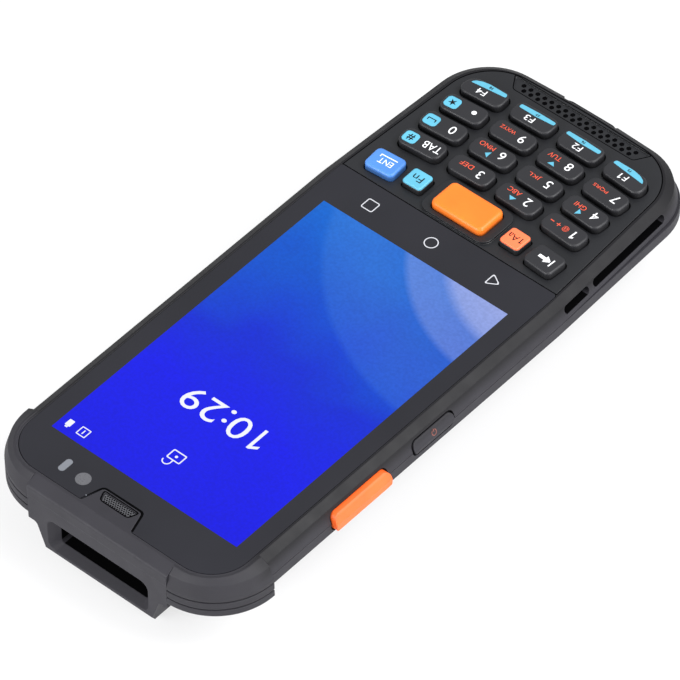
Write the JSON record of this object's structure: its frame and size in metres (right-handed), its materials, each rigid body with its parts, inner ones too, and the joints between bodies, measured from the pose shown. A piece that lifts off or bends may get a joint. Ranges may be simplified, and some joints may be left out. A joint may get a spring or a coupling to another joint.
{
  "type": "portable barcode data terminal",
  "caption": "Rugged handheld terminal with a touch display, a number keypad, side scan buttons, bumpers and a barcode window in its upper end.",
  "frame": {"origin": "under the middle of the terminal, on the plane it lies on", "axes": "+X to the user's right, +Y to the scan end, +Z out of the display"},
  "size_m": [0.071, 0.1622, 0.025],
  "materials": {
    "housing": "fine texture",
    "panel": "satin",
    "key": "satin",
    "orange": "satin",
    "coral": "satin",
    "cyan": "satin",
    "blue": "satin",
    "bumper": "matte",
    "glass": "polished",
    "window": "polished",
    "display": "lit",
    "tray": "bare",
    "steel": "bare",
    "module": "satin",
    "light_guide": "clear",
    "mesh": "black",
    "board": "solder mask",
    "domes": "film",
    "battery": "sleeve",
    "cover": "fine texture"
  },
  "bodies": {
    "terminal": {"front_housing": "housing", "rear_housing": "housing", "bumper_left": "bumper", "bumper_right": "bumper", "front_glass": "glass", "display_module": "display", "display_tray": "tray", "front_camera": "module", "sensor_light_guide": "light_guide", "earpiece_mesh": "mesh", "earpiece_receiver": "module", "keypad_panel": "panel", "keypad_board": "board", "dome_sheet": "domes", "speaker": "module", "scan_window": "window", "scan_engine": "module", "side_switches": "module", "main_board": "board", "radio_shield": "tray", "processor_shield": "tray", "battery_pack": "battery", "battery_cover": "cover", "rear_camera": "module", "rear_camera_window": "window", "rear_lamp": "light_guide", "usb_port": "steel", "housing_screws": "steel", "vibration_motor": "steel"},
    "key_back": {"key_back": "key"},
    "key_enter": {"key_enter": "blue"},
    "key_shift": {"key_shift": "coral"},
    "key_function": {"key_function": "cyan"},
    "key_scan": {"key_scan": "orange"},
    "key_1": {"key_1": "key"},
    "key_2": {"key_2": "key"},
    "key_3": {"key_3": "key"},
    "key_tab": {"key_tab": "key"},
    "key_4": {"key_4": "key"},
    "key_5": {"key_5": "key"},
    "key_6": {"key_6": "key"},
    "key_0": {"key_0": "key"},
    "key_7": {"key_7": "key"},
    "key_8": {"key_8": "key"},
    "key_9": {"key_9": "key"},
    "key_dot": {"key_dot": "key"},
    "key_f1": {"key_f1": "key"},
    "key_f2": {"key_f2": "key"},
    "key_f3": {"key_f3": "key"},
    "key_f4": {"key_f4": "key"},
    "scan_button": {"scan_button": "orange"},
    "power_button": {"power_button": "housing"},
    "volume_rocker": {"volume_rocker": "housing"},
    "battery_latch": {"battery_latch": "cover"},
    "usb_cover": {"usb_cover": "bumper"}
  },
  "joints": [
    {"name": "key_back_press", "type": "slide", "parent": "terminal", "child": "key_back", "axis": [0, 0, -1], "range_m": [0, 0.0006], "stiffness_N_per_m": 1200},
    {"name": "key_enter_press", "type": "slide", "parent": "terminal", "child": "key_enter", "axis": [0, 0, -1], "range_m": [0, 0.0006], "stiffness_N_per_m": 1200},
    {"name": "key_shift_press", "type": "slide", "parent": "terminal", "child": "key_shift", "axis": [0, 0, -1], "range_m": [0, 0.0006], "stiffness_N_per_m": 1200},
    {"name": "key_function_press", "type": "slide", "parent": "terminal", "child": "key_function", "axis": [0, 0, -1], "range_m": [0, 0.0006], "stiffness_N_per_m": 1200},
    {"name": "key_scan_press", "type": "slide", "parent": "terminal", "child": "key_scan", "axis": [0, 0, -1], "range_m": [0, 0.0006], "stiffness_N_per_m": 1200},
    {"name": "key_1_press", "type": "slide", "parent": "terminal", "child": "key_1", "axis": [0, 0, -1], "range_m": [0, 0.0006], "stiffness_N_per_m": 1200},
    {"name": "key_2_press", "type": "slide", "parent": "terminal", "child": "key_2", "axis": [0, 0, -1], "range_m": [0, 0.0006], "stiffness_N_per_m": 1200},
    {"name": "key_3_press", "type": "slide", "parent": "terminal", "child": "key_3", "axis": [0, 0, -1], "range_m": [0, 0.0006], "stiffness_N_per_m": 1200},
    {"name": "key_tab_press", "type": "slide", "parent": "terminal", "child": "key_tab", "axis": [0, 0, -1], "range_m": [0, 0.0006], "stiffness_N_per_m": 1200},
    {"name": "key_4_press", "type": "slide", "parent": "terminal", "child": "key_4", "axis": [0, 0, -1], "range_m": [0, 0.0006], "stiffness_N_per_m": 1200},
    {"name": "key_5_press", "type": "slide", "parent": "terminal", "child": "key_5", "axis": [0, 0, -1], "range_m": [0, 0.0006], "stiffness_N_per_m": 1200},
    {"name": "key_6_press", "type": "slide", "parent": "terminal", "child": "key_6", "axis": [0, 0, -1], "range_m": [0, 0.0006], "stiffness_N_per_m": 1200},
    {"name": "key_0_press", "type": "slide", "parent": "terminal", "child": "key_0", "axis": [0, 0, -1], "range_m": [0, 0.0006], "stiffness_N_per_m": 1200},
    {"name": "key_7_press", "type": "slide", "parent": "terminal", "child": "key_7", "axis": [0, 0, -1], "range_m": [0, 0.0006], "stiffness_N_per_m": 1200},
    {"name": "key_8_press", "type": "slide", "parent": "terminal", "child": "key_8", "axis": [0, 0, -1], "range_m": [0, 0.0006], "stiffness_N_per_m": 1200},
    {"name": "key_9_press", "type": "slide", "parent": "terminal", "child": "key_9", "axis": [0, 0, -1], "range_m": [0, 0.0006], "stiffness_N_per_m": 1200},
    {"name": "key_dot_press", "type": "slide", "parent": "terminal", "child": "key_dot", "axis": [0, 0, -1], "range_m": [0, 0.0006], "stiffness_N_per_m": 1200},
    {"name": "key_f1_press", "type": "slide", "parent": "terminal", "child": "key_f1", "axis": [0, 0, -1], "range_m": [0, 0.0006], "stiffness_N_per_m": 1200},
    {"name": "key_f2_press", "type": "slide", "parent": "terminal", "child": "key_f2", "axis": [0, 0, -1], "range_m": [0, 0.0006], "stiffness_N_per_m": 1200},
    {"name": "key_f3_press", "type": "slide", "parent": "terminal", "child": "key_f3", "axis": [0, 0, -1], "range_m": [0, 0.0006], "stiffness_N_per_m": 1200},
    {"name": "key_f4_press", "type": "slide", "parent": "terminal", "child": "key_f4", "axis": [0, 0, -1], "range_m": [0, 0.0006], "stiffness_N_per_m": 1200},
    {"name": "scan_button_press", "type": "slide", "parent": "terminal", "child": "scan_button", "axis": [1, 0, 0], "range_m": [0, 0.0008], "stiffness_N_per_m": 1200},
    {"name": "power_button_press", "type": "slide", "parent": "terminal", "child": "power_button", "axis": [1, 0, 0], "range_m": [0, 0.0008], "stiffness_N_per_m": 1200},
    {"name": "volume_rocker_tilt", "type": "hinge", "parent": "terminal", "child": "volume_rocker", "pos_m": [0.0315, 0.0132, 0.01865], "axis": [0, 0, 1], "range_deg": [-3, 3], "stiffness_Nm_per_rad": 0.04},
    {"name": "battery_latch_slide", "type": "slide", "parent": "terminal", "child": "battery_latch", "axis": [0, -1, 0], "range_m": [0, 0.0024]},
    {"name": "usb_cover_hinge", "type": "hinge", "parent": "terminal", "child": "usb_cover", "pos_m": [0, -0.08, 0.0114], "axis": [1, 0, 0], "range_deg": [0, 110]}
  ]
}
